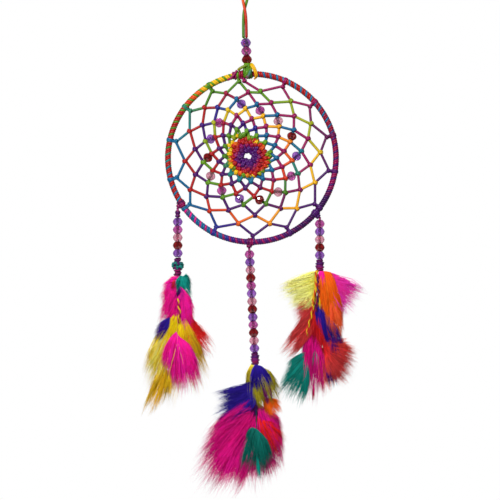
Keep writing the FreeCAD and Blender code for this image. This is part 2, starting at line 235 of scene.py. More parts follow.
def string_cord_satin():
    """The plum cord inside the strings of beads, its twist's grooves painted darker."""
    made, tree = material("string_cord_satin")
    fibres = noise(tree, 2200.0, 4.0)
    inputs = {"Vector": object_place(tree), "Scale": 340.0, "Distortion": 1.5}
    twist = node(tree, "ShaderNodeTexWave", inputs, bands_direction="DIAGONAL").outputs["Fac"]
    # Painted shade and light: the colour follows the twist's relief, darker plum in the grooves and lighter
    # rose on the ridges.
    ribs_with_painted_shade = mixed(tree, "MIX", twist, DYES["plum"], DYES["rose"])
    dyed = mixed(tree, "MIX", 0.45, ribs_with_painted_shade, DYES["plum"])
    return surfaced(made, principled(
        tree, dyed, ranged(tree, fibres, 0.35, 0.6), Normal=raised(tree, twist, 0.5, 0.00012)))


def moulded_bead(name, body, darker_tone, clear):
    """A faceted translucent bead whose facets are each a little lighter or darker at random, as painted
    reflections from inside the bead.
    """
    made, tree = material(name)
    swirl = noise(tree, 260.0, 2.0)
    # Painted reflections: a random lighter or darker tint on each facet stands in for light bouncing inside
    # the bead, and the swirl noise adds random tone too.
    facet = calculated(tree, "MULTIPLY", held(tree, "facet", "Fac"), 0.8)
    cloud_and_facet_glints = calculated(tree, "MULTIPLY_ADD", swirl, 0.35, facet)
    colour = mixed(tree, "MIX", cloud_and_facet_glints, darker_tone, body)
    return surfaced(made, principled(
        tree, colour, ranged(tree, swirl, 0.04, 0.14), Transmission_Weight=clear, IOR=1.49))


def plume_down(name):
    """Dyed feather barbs: soft, slightly shining, and light comes through them."""
    made, tree = material(name)
    streaks = noise(tree, 420.0)
    plain = held(tree, "dye")
    dark = mixed(tree, "MULTIPLY", 0.5, plain, (0.5, 0.45, 0.5))
    dyed = mixed(tree, "MIX", ranged(tree, streaks, 0.3, 1.3), dark, plain)
    skin = principled(tree, dyed, ranged(tree, streaks, 0.5, 0.75), Specular_IOR_Level=0.12)
    through = node(tree, "ShaderNodeBsdfTranslucent", {"Color": dyed}).outputs["BSDF"]
    both = node(tree, "ShaderNodeMixShader", {"Fac": 0.38, 1: skin, 2: through})
    return surfaced(made, both.outputs["Shader"])


def plated_wire():
    """Steel wire under the wrap, with drawing marks."""
    made, tree = material("hoop_wire_steel")
    marks = noise(tree, 900.0, 4.0)
    grey = mixed(tree, "MIX", marks, (0.42, 0.42, 0.44), (0.6, 0.6, 0.62))
    return surfaced(made, principled(tree, grey, ranged(tree, marks, 0.25, 0.5), Metallic=1.0))


def pale_floor():
    made, tree = material("pale_floor")
    pale = mixed(tree, "MIX", noise(tree, 9.0), (0.80, 0.80, 0.80), (0.86, 0.86, 0.86))
    return surfaced(made, principled(tree, pale, 0.8))


WEB_SATIN = satin_cord("web_cord_satin", 900.0, 2, 0.00010, 0.28)
WRAP_SATIN = satin_cord("wrap_cord_satin", 1100.0, 2, 0.00008, 0.26)
KNOT_SATIN = satin_cord("knot_cord_satin", 900.0, 2, 0.00010, 0.28)
THREAD = satin_cord("binding_thread", 1800.0, 3, 0.00010, 0.45)
PLUME = plume_down("plume_down")
STRING_SATIN = string_cord_satin()
BEADS = {
    "violet": moulded_bead("bead_violet_acrylic", (0.41, 0.17, 0.60), (0.14, 0.03, 0.30), 0.88),
    "magenta": moulded_bead("bead_magenta_acrylic", (0.65, 0.155, 0.48), (0.30, 0.02, 0.19), 0.88),
    "pink": moulded_bead("bead_pink_acrylic", (0.78, 0.39, 0.49), (0.46, 0.16, 0.23), 0.90),
    "red": moulded_bead("bead_red_acrylic", (0.335, 0.008, 0.011), (0.08, 0.001, 0.003), 0.80),
}


# ---- free cords

def free_cord(name, route, diameter, finish):
    """A cord as a curve of one smooth spline through its route."""
    curve = bpy.data.curves.new(name, "CURVE")
    curve.dimensions = "3D"
    spline = curve.splines.new("NURBS")
    spline.points.add(len(route) - 1)
    for point, place in zip(spline.points, route):
        point.co = (*place, 1.0)
    spline.order_u = 3
    spline.use_endpoint_u = True
    curve.resolution_u = 24
    curve.bevel_depth = diameter / 2
    curve.bevel_resolution = 4
    curve.use_fill_caps = True
    curve.materials.append(finish)
    return placed(name, curve)


CORD_DIAMETER = 0.0024
LOOP_DIAMETER = 0.0029
LOOP_ROUTE = (
    (-0.0015, 0.0005, -0.0524),
    (-0.0018, 0.0012, -0.0390),
    (-0.0013, 0.0017, -0.0250),
    (0.0023, 0.0014, -0.0135),
    (0.0035, 0.0003, -0.0055),
    (0.0033, 0.0000, 0.00145),
    (-0.0033, 0.0000, 0.00145),
    (-0.0035, -0.0003, -0.0055),
    (-0.0022, -0.0014, -0.0145),
    (0.0006, -0.0017, -0.0270),
    (0.0014, -0.0012, -0.0390),
    (0.0015, -0.0005, -0.0524),
)

# Each string of beads: where it swings from, its cord's direction and length.
STRINGS = {
    "left": {
        "pivot": (-0.06728, 0.0, -0.22230), "lean": 0.0, "cord": 0.0488, "first_bead": 0.0097,
        "beads": "violet magenta pink red violet",
    },
    "middle": {
        "pivot": (0.004215, 0.0, -0.262354), "lean": 3.0, "cord": 0.1041, "first_bead": 0.00215,
        "beads": "magenta violet pink red magenta violet pink red violet magenta red pink violet",
    },
    "right": {
        "pivot": (0.074742, 0.0, -0.231859), "lean": 0.0, "cord": 0.0413, "first_bead": 0.00215,
        "beads": "magenta violet pink red violet",
    },
}
for side, string in STRINGS.items():
    lean = math.radians(string["lean"])
    string["down"] = np.array((math.sin(lean), 0.0, -math.cos(lean)))
    string["pivot"] = np.array(string["pivot"])
    hung = [string["pivot"] + string["down"] * (string["cord"] * share) for share in (0, 0.33, 0.67, 1)]
    string["piece"] = free_cord(side + "_string_cord", hung, CORD_DIAMETER, STRING_SATIN)

for side, string in STRINGS.items():
    piece = string["piece"]
    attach(piece, side + "_string")
    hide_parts(side + "_tail_cord")


# ---- swept strands

def tree_of(name, inputs, result):
    """A geometry tree with named inputs, and its input sockets."""
    tree = bpy.data.node_groups.new(name, "GeometryNodeTree")
    for title, kind, value in inputs:
        made = tree.interface.new_socket(name=title, in_out="INPUT", socket_type="NodeSocket" + kind)
        if value is not None:
            made.default_value = value
    tree.interface.new_socket(name=result, in_out="OUTPUT", socket_type="NodeSocketGeometry")
    return tree, tree.nodes.new("NodeGroupInput").outputs


def stored(tree, geometry, name, value, kind="FLOAT", domain="POINT"):
    inputs = {"Geometry": geometry, "Name": name, "Value": value}
    made = node(tree, "GeometryNodeStoreNamedAttribute", inputs, data_type=kind, domain=domain)
    return made.outputs["Geometry"]


def named(tree, name, kind="FLOAT"):
    made = node(tree, "GeometryNodeInputNamedAttribute", {"Name": name}, data_type=kind)
    return made.outputs["Attribute"]


def realized(tree, geometry):
    return node(tree, "GeometryNodeRealizeInstances", {"Geometry": geometry}).outputs["Geometry"]


def finished(tree, geometry, finish, result):
    faced = node(tree, "GeometryNodeSetMaterial", {"Geometry": geometry, "Material": finish})
    node(tree, "NodeGroupOutput", {result: faced.outputs["Geometry"]})
    return tree


def strand_tree():
    """Sweeps a round cord along every line of the host, thick as its points say.

    The seam of each tube is merged after its lay map is stored, so that the map is
    whole right round the cord.
    """
    tree, given = tree_of("cord_along_lines", (
        ("Lines", "Geometry", None), ("Cord radius", "Float", 0.001),
        ("Sides", "Int", 8), ("Finish", "Material", None),
    ), "Cords")
    curve = node(tree, "GeometryNodeMeshToCurve", {"Mesh": given["Lines"]}).outputs["Curve"]
    along = node(tree, "GeometryNodeSplineParameter").outputs["Length"]
    line = stored(tree, curve, "run", along)
    ring = node(tree, "GeometryNodeCurveArc", {
        "Resolution": calculated(tree, "ADD", given["Sides"], 1.0),
        "Radius": 1.0, "Start Angle": 0.0, "Sweep Angle": math.tau,
    }).outputs["Curve"]
    around = node(tree, "GeometryNodeSplineParameter").outputs["Factor"]
    profile = stored(tree, ring, "turn", around)
    thick = calculated(tree, "MULTIPLY", named(tree, "thick"), given["Cord radius"])
    swept = node(tree, "GeometryNodeCurveToMesh", {"Curve": line, "Profile Curve": profile, "Scale": thick})
    pair = node(tree, "ShaderNodeCombineXYZ", {"X": named(tree, "run"), "Y": named(tree, "turn")})
    mesh = stored(tree, swept.outputs["Mesh"], "lay", pair.outputs["Vector"], "FLOAT2", "CORNER")
    inputs = {"Geometry": mesh, "Distance": 0.000002}
    mesh = node(tree, "GeometryNodeMergeByDistance", inputs).outputs["Geometry"]
    for spare in ("run", "turn", "thick"):
        inputs = {"Geometry": mesh, "Name": spare}
        mesh = node(tree, "GeometryNodeRemoveAttribute", inputs).outputs["Geometry"]
    return finished(tree, realized(tree, mesh), given["Finish"], "Cords")


def bead_tree():
    """Threads a cut bead on every point of the host, along the point's axis."""
    tree, given = tree_of("beads_on_points", (
        ("Places", "Geometry", None), ("Bead", "Object", None), ("Bead radius", "Float", 0.005),
        ("Bead height", "Float", 0.008), ("Facet seed", "Int", 3), ("Finish", "Material", None),
    ), "Beads")
    points = node(tree, "GeometryNodeMeshToPoints", {"Mesh": given["Places"]}).outputs["Points"]
    bead = node(tree, "GeometryNodeObjectInfo", {"Object": given["Bead"]}).outputs["Geometry"]
    inputs = {"Vector": named(tree, "axis", "FLOAT_VECTOR")}
    turned = node(tree, "FunctionNodeAlignRotationToVector", inputs, axis="Z").outputs["Rotation"]
    radius, height = given["Bead radius"], given["Bead height"]
    size = node(tree, "ShaderNodeCombineXYZ", {"X": radius, "Y": radius, "Z": height}).outputs["Vector"]
    threaded = node(tree, "GeometryNodeInstanceOnPoints", {
        "Points": points, "Instance": bead, "Rotation": turned, "Scale": size,
    }).outputs["Instances"]
    # A random value for each face, which the bead finish turns into painted reflections on the facets.
    chance = node(tree, "FunctionNodeRandomValue", {"Seed": given["Facet seed"]}, data_type="FLOAT")
    value = next(socket for socket in chance.outputs if socket.enabled)
    mesh = stored(tree, realized(tree, threaded), "facet", value, "FLOAT", "FACE")
    return finished(tree, mesh, given["Finish"], "Beads")


STRAND_TREE = strand_tree()
BEAD_TREE = bead_tree()


def settled(host, tree, inputs, name):
    """The host's tree as a plain mesh piece. The host is removed."""
    modifier = host.modifiers.new(tree.name, "NODES")
    modifier.node_group = tree
    for item in tree.interface.items_tree:
        if item.item_type == "SOCKET" and item.in_out == "INPUT" and item.name in inputs:
            modifier[item.identifier] = inputs[item.name]
    depsgraph = bpy.context.evaluated_depsgraph_get()
    worked = host.evaluated_get(depsgraph)
    mesh = bpy.data.meshes.new_from_object(worked, preserve_all_data_layers=True, depsgraph=depsgraph)
    host.modifiers.remove(modifier)
    host_mesh = host.data
    bpy.data.objects.remove(host)
    bpy.data.meshes.remove(host_mesh)
    mesh.name = name
    return placed(name, mesh)


def fitted(piece, body, slot, *nodes):
    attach(piece, body)
    if nodes:
        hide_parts(*nodes)
    return piece


def strands_piece(name, strands, radius, sides, finish):
    """One mesh piece from strands, each (points, thickness share, dye) in metres."""
    places = np.concatenate([strand[0] for strand in strands])
    thick = np.concatenate([strand[1] for strand in strands])
    dyes = np.concatenate([strand[2] for strand in strands])
    edges = []
    start = 0
    for strand in strands:
        count = len(strand[0])
        firsts = np.arange(start, start + count - 1)
        edges.append(np.stack((firsts, firsts + 1), axis=1))
        start += count
    edges = np.concatenate(edges)
    mesh = bpy.data.meshes.new(name + "_lines")
    mesh.vertices.add(len(places))
    mesh.vertices.foreach_set("co", places.astype(np.float32).ravel())
    mesh.edges.add(len(edges))
    mesh.edges.foreach_set("vertices", edges.astype(np.int32).ravel())
    mesh.attributes.new("thick", "FLOAT", "POINT").data.foreach_set("value", thick.astype(np.float32))
    rgba = np.ones((len(dyes), 4), dtype=np.float32)
    rgba[:, :3] = np.clip(dyes, 0, 1)
    mesh.attributes.new("dye", "FLOAT_COLOR", "POINT").data.foreach_set("color", rgba.ravel())
    inputs = {"Cord radius": radius, "Sides": sides, "Finish": finish}
    piece = settled(placed(name + "_lines", mesh), STRAND_TREE, inputs, name)
    piece.data.shade_smooth()
    return piece


def softened(points, rounds=2):
    """Corners cut again and again, which leaves a smooth line. The ends stay."""
    line = np.asarray(points, dtype=float)
    for _ in range(rounds):
        near = line[:-1] * 0.75 + line[1:] * 0.25
        far = line[:-1] * 0.25 + line[1:] * 0.75
        middle = np.empty((2 * len(near), line.shape[1]))
        middle[0::2] = near
        middle[1::2] = far
        line = np.concatenate((line[:1], middle, line[-1:]))
    return line


def ended(count, reach=3):
    """Thickness shares of a strand whose two ends close to a point."""
    thick = np.ones(count)
    for i in range(min(reach, count // 2)):
        share = math.sin(math.pi / 2 * i / reach)
        thick[i] = share
        thick[-1 - i] = share
    return thick


def coloured_strand(points, colours, rounds=2):
    """A softened strand whose colours follow its points."""
    together = softened(np.hstack((np.asarray(points, float), np.asarray(colours, float))), rounds)
    return together[:, :3], ended(len(together)), together[:, 3:]


def unit(vector):
    return vector / np.linalg.norm(vector)


def ring_offsets(spin, across, radius):
    """Steps out from a line, all the way round it."""
    return np.outer(np.cos(spin) * radius, across) + np.outer(np.sin(spin) * radius, FRONT)


def taut(points, reach):
    """The route with two more points on each long run, so that it stays straight
    between its corners when it is softened."""
    line = [np.asarray(points[0], dtype=float)]
    for start, end in zip(points, points[1:]):
        start, end = np.asarray(start, float), np.asarray(end, float)
        length = np.linalg.norm((end - start)[:3])
        if length > 3 * reach:
            line.append(start + (end - start) * (reach / length))
            line.append(end - (end - start) * (reach / length))
        line.append(end)
    return np.array(line)


def hanging_loop():
    """The loop's cord: leaf green up the back, orange running to red down the front."""
    guide = free_cord("loop_guide", LOOP_ROUTE, 0.0, STRING_SATIN)
    guide.data.bevel_depth = 0.0
    depsgraph = bpy.context.evaluated_depsgraph_get()
    line = bpy.data.meshes.new_from_object(guide.evaluated_get(depsgraph))
    points = np.array([vertex.co[:] for vertex in line.vertices])
    guide_curve = guide.data
    bpy.data.objects.remove(guide)
    bpy.data.curves.remove(guide_curve)
    bpy.data.meshes.remove(line)
    share = np.linspace(0, 1, len(points))
    dyes = dye_along(share, "0 green, 0.42 leaf, 0.5 lime, 0.54 orange, 0.70 orange, 0.84 scarlet, 1 red")
    strand = (points, ended(len(points), 1), dyes)
    piece = strands_piece("hanging_loop_cord", [strand], LOOP_DIAMETER / 2, 12, KNOT_SATIN)
    fitted(piece, "hanger", "loop_cord", "hanging_loop")


hanging_loop()


# ---- hoop

HOOP_CENTRE = np.array((0.007, 0.0, -0.172))
HOOP_RADIUS = 0.084
WRAP_RADIUS = 0.00295
WRAP_TURNS = 79
WRAP_CORD = 0.00128
WRAP_CENTRE = 0.00188
START_ANGLE = 98.0


def on_hoop(angle, radius):
    turn = np.radians(angle)
    outward = np.stack((np.cos(turn), np.zeros_like(turn), np.sin(turn)), axis=-1)
    return HOOP_CENTRE + outward * np.expand_dims(radius, -1)


# Two turns of the first colour lie beside one turn of the second, all the way round.
WRAP_FIRST = (
    "-10 magenta, 20 crimson, 40 crimson, 46 red, 84 red, 92 crimson, 96 yellow, 124 yellow, 129 orange, "
    "140 scarlet, 146 red, 214 red, 222 blue, 246 blue, 254 indigo, 262 purple, 290 purple, 300 "
    "deep_purple, 332 deep_purple, 340 magenta, 370 crimson"
)
WRAP_SECOND = (
    "-10 purple, 16 purple, 24 blue, 60 cyan, 88 blue, 96 green, 124 leaf, 172 green, 180 teal, 196 blue, "
    "212 cyan, 218 hot_pink, 246 magenta, 290 magenta, 298 plum, 330 deep_purple, 340 purple, 370 purple"
)


def hoop_wrap():
    steps_per_turn = 14
    strands = []
    for start in range(3):
        share = np.linspace(0, 1, WRAP_TURNS * steps_per_turn + 1)
        angle = START_ANGLE - 360 * share
        spin = math.tau * (WRAP_TURNS * share + start / 3)
        # Hand winding is never quite even.
        wobble = 0.05 * np.sin(share * 211 + start) + 0.04 * np.sin(share * 467 + 2 * start)
        angle = angle + wobble
        outward = np.cos(spin) * WRAP_CENTRE
        forward = np.sin(spin) * WRAP_CENTRE
        points = on_hoop(angle, HOOP_RADIUS + outward)
        points[:, 1] -= forward
        stops = WRAP_SECOND if start == 2 else WRAP_FIRST
        colours = dye_along(np.mod(angle + 10, 360) - 10, stops)
        strands.append((points, ended(len(points)), colours))
    piece = strands_piece("hoop_wrap_cord", strands, WRAP_CORD, 8, WRAP_SATIN)
    fitted(piece, "hoop", "wrap_cord", "hoop_wrap")


def turns_round_hoop(angle, turns, cord, colour, spread=None, steps=14):
    """Turns of cord round the wrapped hoop, side by side from an angle."""
    pitch = math.degrees(2.02 * cord / HOOP_RADIUS) if spread is None else spread
    count = int(turns * steps) + 1
    turned = np.arange(count) / steps
    centre_radius = WRAP_RADIUS + cord * 0.35
    spin = math.tau * turned + math.pi / 2
    points = on_hoop(angle + pitch * turned, HOOP_RADIUS - np.sin(spin) * centre_radius)
    points[:, 1] -= np.cos(spin) * centre_radius
    return points, ended(count), plain(colour, count)


hoop_wrap()
wire_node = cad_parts["hoop_ring"]
wire_steel = plated_wire()
for material_slot in wire_node.material_slots:
    material_slot.material = wire_steel

lashing = [
    turns_round_hoop(95.7, 2, 0.0011, "crimson"),
    turns_round_hoop(98.8, 1, 0.0011, "leaf"),
    turns_round_hoop(100.2, 2, 0.0011, "magenta"),
]
loose_end = points_mm((-8.0, -3.6, -84.6), (-10.5, -4.8, -89.0), (-13.5, -4.4, -92.4), (-17.5, -3.2, -94.6))
lashing.append(coloured_strand(loose_end, plain("magenta", 4), 3))
lashing_piece = strands_piece("splice_lashing_cord", lashing, 0.00115, 8, KNOT_SATIN)
fitted(lashing_piece, "hoop", "lashing_cord", "splice_lashing")


# ---- web

FIRST_HITCH_ANGLE = 95.6
HOOP_HITCH_GAPS = (29, 25, 26, 25, 27, 27, 26, 28, 26, 22, 27, 25, 22, 21)
LAST_HOOP_HITCH_ANGLE = 99.3
HITCHES_PER_ROUND = 15
ROUNDS = 7
SPIRAL_HITCHES = 90
PULL = (0.20, 0.46)
SWIRL = (1.6, 1.15)
WEB_LEAN = np.array((-0.0134, 0.0, 0.0005))
JUNCTION_RADIUS = 0.0775
WEB_CORD = 0.00138
HOOP_HITCH_REACH = WRAP_RADIUS - 0.0006
ROSETTE_HOLE = 0.0050
ROSETTE_ROUND = 0.0028  # how much nearer to the middle each round is
ROSETTE_KNOT = 0.0038  # the least room between two knots
ROSETTE_SPAN = 100  # dye steps over the whole rosette
ROSETTE_CORD = 0.00118
ROSETTE_CENTRE = HOOP_CENTRE + np.array((-0.0036, 0.0, 0.0013))
WEB_DYES = (
    "0 magenta, 2 magenta, 2.6 plum, 3.5 plum, 4.2 purple, 7.2 purple, 8 indigo, 9 blue, 11 blue, 11.8 "
    "teal, 12.6 green, 15.5 leaf, 16.6 lime, 17.6 lime, 18.2 yellow, 20.6 gold, 22 orange, 23 scarlet, 24 "
    "red, 27 red, 28 crimson, 29.5 magenta, 33.5 magenta, 35 plum, 36 purple, 40.5 purple, 42 indigo, 43 "
    "blue, 46.5 blue, 47.6 teal, 49 green, 54 leaf, 56 lime, 57.5 yellow, 60.5 gold, 61.6 orange, 63 "
    "scarlet, 64 red, 70.5 red, 72 magenta, 77.5 magenta, 79 plum, 80 purple, 86.5 purple, 88 indigo, 89 "
    "blue, 93.5 blue, 96 teal, 98 green, 103 leaf, 106 leaf, 110 yellow, 117 yellow, 119 green, 123 lime, "
    "126 orange, 130 scarlet, 136 red, 152 red, 160 crimson, 166 magenta, 171 purple, 176 plum, 183 "
    "purple, 216 purple"
)


def hoop_hitch_angles():
    angles = [FIRST_HITCH_ANGLE]
    for gap in HOOP_HITCH_GAPS:
        angles.append(angles[-1] - gap)
    return angles


def turned_in_plane(vector, degrees):
    """A vector of the hoop's plane, turned against the clock."""
    turn = math.radians(degrees)
    return np.array((
        vector[0] * math.cos(turn) - vector[2] * math.sin(turn),
        vector[1],
        vector[0] * math.sin(turn) + vector[2] * math.cos(turn),
    ))


def web_hitches():
    """Every hitch in the order tied: each takes the middle of the strand that is one
    round older, and pulls it towards the middle of the web."""
    hitches = [on_hoop(np.float64(angle), JUNCTION_RADIUS) for angle in hoop_hitch_angles()]
    while len(hitches) < HITCHES_PER_ROUND * (ROUNDS + 1):
        share = (len(hitches) - HITCHES_PER_ROUND) / SPIRAL_HITCHES
        start, end = hitches[-HITCHES_PER_ROUND], hitches[-HITCHES_PER_ROUND + 1]
        target = HOOP_CENTRE + WEB_LEAN * min(1.0, share)
        middle = (start + end) / 2
        pull = PULL[0] + (PULL[1] - PULL[0]) * share
        pulled = middle + unit(target - middle) * pull * np.linalg.norm(end - start) - target
        hitches.append(target + turned_in_plane(pulled, SWIRL[0] + (SWIRL[1] - SWIRL[0]) * share))
    return hitches


def rosette_hitches(hitches):
    """The last rounds, drawn tight round the hole in the middle."""
    found = list(hitches[-HITCHES_PER_ROUND:])
    offsets = [point - ROSETTE_CENTRE for point in found]
    radius = float(np.mean([np.linalg.norm(offset) for offset in offsets]))
    turn = math.atan2(offsets[-1][2], offsets[-1][0])
    while radius > ROSETTE_HOLE:
        step = max(math.tau / HITCHES_PER_ROUND * 1.03, ROSETTE_KNOT / radius)
        turn -= step
        radius -= ROSETTE_ROUND * step / math.tau
        found.append(ROSETTE_CENTRE + np.array((math.cos(turn), 0, math.sin(turn))) * radius)
    return found


def hitch_turn(place, outward, loop_radius, shift, depth, turns=2.0):
    """Turns of cord round the strand at a place: in front, over its outer side,
    behind it and back in."""
    across = np.cross(outward, FRONT)
    turn = []
    steps = int(9 * turns)
    for i in range(steps + 1):
        spin = math.radians(20 + (360 * turns - 30) * i / steps)
        side = shift * (2 * i / steps - 1)
        turn.append(place + across * side - outward * math.cos(spin) * loop_radius
                    + FRONT * (math.sin(spin) * loop_radius - depth))
    return turn


def hoop_hitch(own, angle):
    """The cord goes up to the hoop, twice round it, back, and once round itself."""
    stem = unit(own - HOOP_CENTRE)
    tangent = np.cross(stem, FRONT)
    centre = on_hoop(np.float64(angle), HOOP_RADIUS)
    route = [own - tangent * 0.0010 + FRONT * 0.0010,
             own + stem * 0.0020 - tangent * 0.0003 + FRONT * 0.0010]
    steps = 22
    for i in range(steps + 1):
        spin = math.radians(-50 + 640 * i / steps)
        side = tangent * (0.0025 * (i / steps - 0.5))
        reach = stem * math.sin(spin) + FRONT * math.cos(spin)
        route.append(centre + side + reach * HOOP_HITCH_REACH)
    route.append(own + stem * 0.0022 + tangent * 0.0003 - FRONT * 0.0011)
    for i in range(13):
        spin = math.radians(-120 + 440 * i / 12)
        drop = stem * (0.0010 - 0.0022 * i / 12)
        route.append(own + drop + tangent * math.cos(spin) * 0.0014 + FRONT * math.sin(spin) * 0.0014)
    return route


def web_cord():
    hitches = web_hitches()
    angles = hoop_hitch_angles()
    angles[0] = LAST_HOOP_HITCH_ANGLE
    behind = -FRONT * 0.0004
    route, places = [], []
    for k in range(HITCHES_PER_ROUND * ROUNDS):
        own, newer = hitches[k], hitches[k + HITCHES_PER_ROUND]
        if k < HITCHES_PER_ROUND:
            turns = hoop_hitch(own, angles[k])
        else:
            turns = hitch_turn(own, unit(own - HOOP_CENTRE), 0.00165, 0.00125, 0.0003)
        route.extend(turns + [newer + behind])
        places.extend([k + 0.2 * i / len(turns) for i in range(len(turns))] + [k + 0.6])
    colours = dye_along(np.array(places), WEB_DYES)
    line = taut(np.hstack((np.array(route), colours)), 0.0016)
    points, thick, tinted = coloured_strand(line[:, :3], line[:, 3:])
    thick = thick * np.linspace(0.94, 1.12, len(thick))
    piece = strands_piece("web_cord", [(points, thick, tinted)], WEB_CORD, 8, WEB_SATIN)
    rounds = [f"web_round_{i + 1}" for i in range(ROUNDS)]
    fitted(piece, "hoop", "web_cord_purple", "web_hoop_hitches", *rounds)

    inner = rosette_hitches(hitches)
    rng = np.random.default_rng(11)
    layers = []
    for layer in range(2):
        route, places = [], []
        for i, place in enumerate(inner):
            share = i / len(inner)
            out = turned_in_plane(unit(place - ROSETTE_CENTRE), 32 + rng.uniform(-16, 16))
            moved = place + rng.normal(0, 1, 3) * 0.00035 - FRONT * 0.0013 * layer
            moved = ROSETTE_CENTRE + turned_in_plane(moved - ROSETTE_CENTRE, -9 * layer)
            turns = hitch_turn(moved, out, 0.0019 - 0.0003 * share, 0.0013, 0.0006 * (i % 2), 1.8)
            route.extend(turns)
            step = share * ROSETTE_SPAN + rng.normal(0, 6.0)
            places.extend([HITCHES_PER_ROUND * ROUNDS + min(max(step, 0), ROSETTE_SPAN)] * len(turns))
        colours = dye_along(np.array(places), WEB_DYES)
        layers.append(coloured_strand(route, colours))
    rosette = strands_piece("web_rosette_cord", layers, ROSETTE_CORD, 8, WEB_SATIN)
    fitted(rosette, "hoop", "rosette_cord", "web_rosette")
    return hitches


HITCHES = web_cord()


# ---- beads

BEAD_RADIUS = 0.00495
BEAD_HEIGHT = 0.00775
BEAD_PITCH = 0.00785
TOP_BEAD_RADIUS = 0.0052
TOP_BEAD_HEIGHT = 0.0082
FIRST_BEAD_HITCH = 43
WEB_BEADS = 14


def cut_bead():
    """A bead of unit radius and height, with rows of three-cornered facets."""
    sides = 10
    rows = ((0.54, 0.0, 0.0), (0.90, 0.27, 0.5), (1.0, 0.5, 0.0), (0.90, 0.73, 0.5), (0.54, 1.0, 0.0))
    corners, faces = [], []
    for radius, height, offset in rows:
        for i in range(sides):
            turn = math.tau * (i + offset) / sides
            corners.append((radius * math.cos(turn), radius * math.sin(turn), height - 0.5))
    for row in range(len(rows) - 1):
        low, high = row * sides, (row + 1) * sides
        for i in range(sides):
            j = (i + 1) % sides
            if rows[row][2] == 0.0:
                faces.append((low + i, low + j, high + i))
                faces.append((low + j, high + j, high + i))
            else:
                faces.append((low + i, high + j, high + i))
                faces.append((low + i, low + j, high + j))
    bore = len(corners)
    for height in (0.0, 1.0):
        for i in range(sides):
            turn = math.tau * i / sides
            corners.append((0.28 * math.cos(turn), 0.28 * math.sin(turn), height - 0.5))
    top_flat, top_bore = (len(rows) - 1) * sides, bore + sides
    for i in range(sides):
        j = (i + 1) % sides
        faces.append((j, i, bore + i, bore + j))
        faces.append((top_flat + i, top_flat + j, top_bore + j, top_bore + i))
        faces.append((bore + j, bore + i, top_bore + i, top_bore + j))
    mesh = bpy.data.meshes.new("cut_bead")
    mesh.from_pydata(corners, [], faces)
    return placed("cut_bead", mesh)


BEAD = cut_bead()


def beads_piece(name, places, axes, colour, body, *nodes, radius=BEAD_RADIUS, height=BEAD_HEIGHT):
    mesh = bpy.data.meshes.new(name + "_places")
    mesh.from_pydata([tuple(place) for place in places], [], [])
    held = mesh.attributes.new("axis", "FLOAT_VECTOR", "POINT")
    held.data.foreach_set("vector", np.asarray(axes, dtype=np.float32).ravel())
    inputs = {
        "Bead": BEAD, "Bead radius": radius, "Bead height": height,
        "Facet seed": len(name), "Finish": BEADS[colour],
    }
    piece = settled(placed(name + "_places", mesh), BEAD_TREE, inputs, name)
    return fitted(piece, body, "bead_" + colour, *nodes)


def web_beads():
    groups = {"violet": [], "magenta": [], "pink": [], "red": []}
    names = tuple(groups)
    for i in range(WEB_BEADS):
        start = HITCHES[FIRST_BEAD_HITCH + i] + FRONT * 0.0012
        end = HITCHES[FIRST_BEAD_HITCH + i + HITCHES_PER_ROUND] - FRONT * 0.0012
        groups[names[i % 4]].append((start + (end - start) * 0.53, unit(end - start)))
    for colour, held in groups.items():
        places, axes = zip(*held)
        beads_piece(f"web_beads_{colour}_cut", places, axes, colour, "hoop", "web_beads_" + colour)


def string_beads():
    for side, string in STRINGS.items():
        groups = {}
        for i, colour in enumerate(string["beads"].split()):
            along = string["first_bead"] + BEAD_HEIGHT / 2 + i * BEAD_PITCH
            groups.setdefault(colour, []).append(string["pivot"] + string["down"] * along)
        for number, (colour, places) in enumerate(groups.items()):
            axes = [string["down"]] * len(places)
            nodes = [side + "_tail_beads"] if number == 0 else []
            beads_piece(f"{side}_beads_{colour}", places, axes, colour, side + "_string", *nodes)


CORE_TOP = np.array((0.00055, 0.0, -0.0526))
CORE_FOOT = np.array((0.0022, 0.0, -0.0795))


def hanger():
    line = unit(CORE_FOOT - CORE_TOP)
    for colour, drop in (("violet", 0.0084), ("pink", 0.0168), ("red", 0.0252)):
        centre = CORE_TOP + line * (drop - 0.0041)
        shown = "magenta" if colour == "pink" else colour
        name = "hanger_bead_" + colour
        piece = beads_piece(name + "_cut", [centre], [line], shown, "hanger", name,
                            radius=TOP_BEAD_RADIUS, height=TOP_BEAD_HEIGHT)
    strands = []
    for start, name in ((0, "leaf"), (1, "red")):
        share = np.linspace(0, 1, 60)
        spin = math.tau * (2.2 * share + start / 2)
        across = np.cross(line, FRONT)
        points = CORE_TOP - line * 0.0011 + np.outer(share, CORE_FOOT - CORE_TOP)
        points = points + ring_offsets(spin, across, 0.00095)
        strands.append((points, ended(len(share)), plain(name, len(share))))
    piece = strands_piece("hanger_twist", strands, 0.00105, 8, KNOT_SATIN)
    fitted(piece, "hanger", "loop_cord", "hanger_core")


web_beads()
string_beads()
hanger()
bead_mesh = BEAD.data
bpy.data.objects.remove(BEAD)
bpy.data.meshes.remove(bead_mesh)


# ---- top knot

KNOT_CENTRE = np.array((0.0034, 0.0, -0.0875))


def knot_turns(turns, start_x, pitch, reach, lift, colours, lean=0.0):
    """Turns of cord round the hoop's wire, that make the ball of the knot."""
    count = int(turns * 14) + 1
    share = np.linspace(0, 1, count)
    spin = math.tau * turns * share + math.pi / 2
    swell = 1 - 0.18 * (2 * share - 1) ** 2
    points = np.empty((count, 3))
    points[:, 0] = start_x + pitch * turns * share + lean * np.cos(spin)
    points[:, 1] = -np.sin(spin) * reach[0] * swell
    points[:, 2] = KNOT_CENTRE[2] + lift + np.cos(spin) * reach[1] * swell
    return points, ended(count), dye_along(share, colours)


